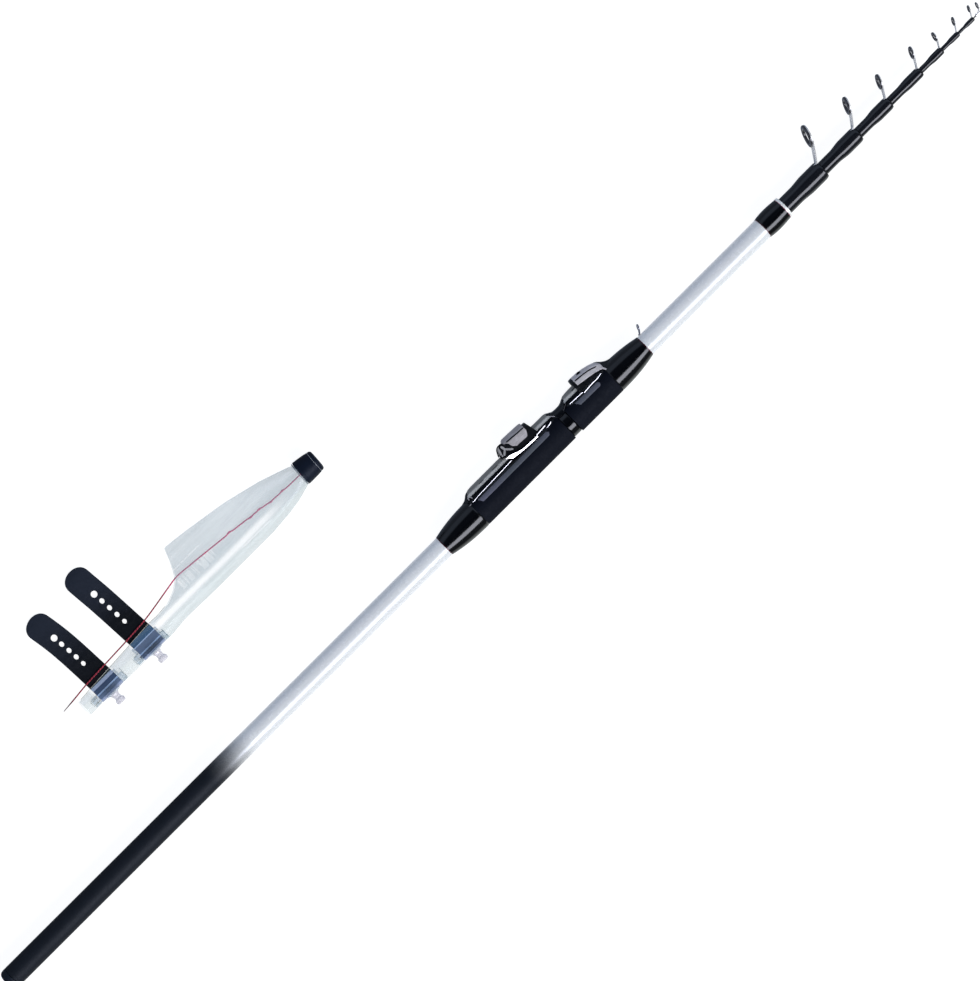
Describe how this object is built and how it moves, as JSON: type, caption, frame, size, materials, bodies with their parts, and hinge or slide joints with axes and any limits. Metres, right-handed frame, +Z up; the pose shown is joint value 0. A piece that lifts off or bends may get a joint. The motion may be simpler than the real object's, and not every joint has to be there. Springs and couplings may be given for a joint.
{
  "type": "travel fishing rod",
  "caption": "Telescopic travel fishing rod, closed, with a clip reel seat, wire line guides, screw-in butt cap and a clear tip cover with rubber straps.",
  "frame": {"origin": "centre of the butt cap's flat end face, on the rod's axis; the rod lies on its side, so the surface it rests on is 11.6 mm below", "axes": "+X along the rod from the butt to the tip, +Y towards the reel seat and the line guides, +Z up"},
  "size_m": [0.9638, 0.1844, 0.0232],
  "materials": {
    "pearl_tube": "pearl white lacquer fading to satin black at the butt",
    "black_gloss": "clear-coated black",
    "black_satin": "satin black",
    "grip_foam": "matte black foam",
    "red_ring": "metallic red",
    "gunmetal": "gunmetal",
    "chrome_wire": "polished",
    "guide_ceramic": "polished dark ring",
    "strap_rubber": "satin black rubber",
    "clear_film": "clear flexible film",
    "clear_plastic": "clear moulded plastic",
    "red_cord": "thin red cord",
    "cap_black": "black end cap"
  },
  "bodies": {
    "handle": {"butt_blank": "pearl_tube", "rear_cone": "black_gloss", "rear_trim_ring": "red_ring", "rear_grip": "grip_foam", "seat_neck": "black_gloss", "front_grip": "grip_foam", "front_cone": "black_gloss", "front_trim_ring": "red_ring", "rear_seat_plate": "gunmetal", "front_seat_plate": "gunmetal", "front_hood": "gunmetal", "front_hood_liner": "black_satin", "hook_keeper": "chrome_wire", "ferrule_collar": "black_gloss", "collar_ring": "chrome_wire"},
    "seal_ring": {"butt_seal_ring": "strap_rubber"},
    "end_cap": {"butt_cap": "black_satin"},
    "slider": {"slider_hood": "gunmetal", "slider_liner": "black_satin", "lever_pin": "chrome_wire"},
    "lever": {"lock_lever": "gunmetal"},
    "section_2": {"blank_2": "black_gloss", "wrap_2": "black_gloss", "guide_frame_2": "chrome_wire", "guide_ring_2": "guide_ceramic"},
    "section_3": {"blank_3": "black_gloss", "wrap_3": "black_gloss", "guide_frame_3": "chrome_wire", "guide_ring_3": "guide_ceramic"},
    "section_4": {"blank_4": "black_gloss", "wrap_4": "black_gloss", "guide_frame_4": "chrome_wire", "guide_ring_4": "guide_ceramic"},
    "section_5": {"blank_5": "black_gloss", "wrap_5": "black_gloss", "guide_frame_5": "chrome_wire", "guide_ring_5": "guide_ceramic"},
    "section_6": {"blank_6": "black_gloss", "wrap_6": "black_gloss", "guide_frame_6": "chrome_wire", "guide_ring_6": "guide_ceramic"},
    "section_7": {"blank_7": "black_gloss", "wrap_7": "black_gloss", "guide_frame_7": "chrome_wire", "guide_ring_7": "guide_ceramic"},
    "section_8": {"blank_8": "black_gloss", "wrap_8": "black_gloss", "guide_frame_8": "chrome_wire", "guide_ring_8": "guide_ceramic"},
    "section_9": {"blank_9": "black_gloss", "tip_top_tube": "chrome_wire", "tip_top_frame": "chrome_wire", "tip_top_ring": "guide_ceramic"},
    "tip_cover": {"cover_cap": "cap_black", "cover_sleeve": "clear_film", "cover_strap_upper": "strap_rubber", "cover_strap_lower": "strap_rubber", "cover_stud_upper": "clear_plastic", "cover_stud_lower": "clear_plastic", "cover_cord": "red_cord"}
  },
  "joints": [
    {"name": "cap_travel", "type": "slide", "parent": "handle", "child": "seal_ring", "axis": [-1, 0, 0], "range_m": [0, 0.01]},
    {"name": "cap_turn", "type": "hinge", "parent": "seal_ring", "child": "end_cap", "pos_m": [0.01, 0, 0], "axis": [-1, 0, 0], "range_deg": [0, 2880]},
    {"name": "hood_slide", "type": "slide", "parent": "handle", "child": "slider", "axis": [1, 0, 0], "range_m": [-0.031, 0.0125]},
    {"name": "lever_swing", "type": "hinge", "parent": "slider", "child": "lever", "pos_m": [0.508, 0.0214, 0], "axis": [0, 0, -1], "range_deg": [0, 80]},
    {"name": "section_2_slide", "type": "slide", "parent": "handle", "child": "section_2", "axis": [1, 0, 0], "range_m": [0, 0.692]},
    {"name": "section_3_slide", "type": "slide", "parent": "section_2", "child": "section_3", "axis": [1, 0, 0], "range_m": [0, 0.732]},
    {"name": "section_4_slide", "type": "slide", "parent": "section_3", "child": "section_4", "axis": [1, 0, 0], "range_m": [0, 0.77]},
    {"name": "section_5_slide", "type": "slide", "parent": "section_4", "child": "section_5", "axis": [1, 0, 0], "range_m": [0, 0.805]},
    {"name": "section_6_slide", "type": "slide", "parent": "section_5", "child": "section_6", "axis": [1, 0, 0], "range_m": [0, 0.839]},
    {"name": "section_7_slide", "type": "slide", "parent": "section_6", "child": "section_7", "axis": [1, 0, 0], "range_m": [0, 0.864]},
    {"name": "section_8_slide", "type": "slide", "parent": "section_7", "child": "section_8", "axis": [1, 0, 0], "range_m": [0, 0.884]},
    {"name": "section_9_slide", "type": "slide", "parent": "section_8", "child": "section_9", "axis": [1, 0, 0], "range_m": [0, 0.902]},
    {"name": "cover_lift", "type": "slide", "parent": "handle", "child": "tip_cover", "axis": [0, 0, 1], "range_m": [0, 0.15]}
  ],
  "couplings": [
    {"joint": "cap_turn", "follows": "cap_travel", "rad_per_m": 5026.5}
  ]
}
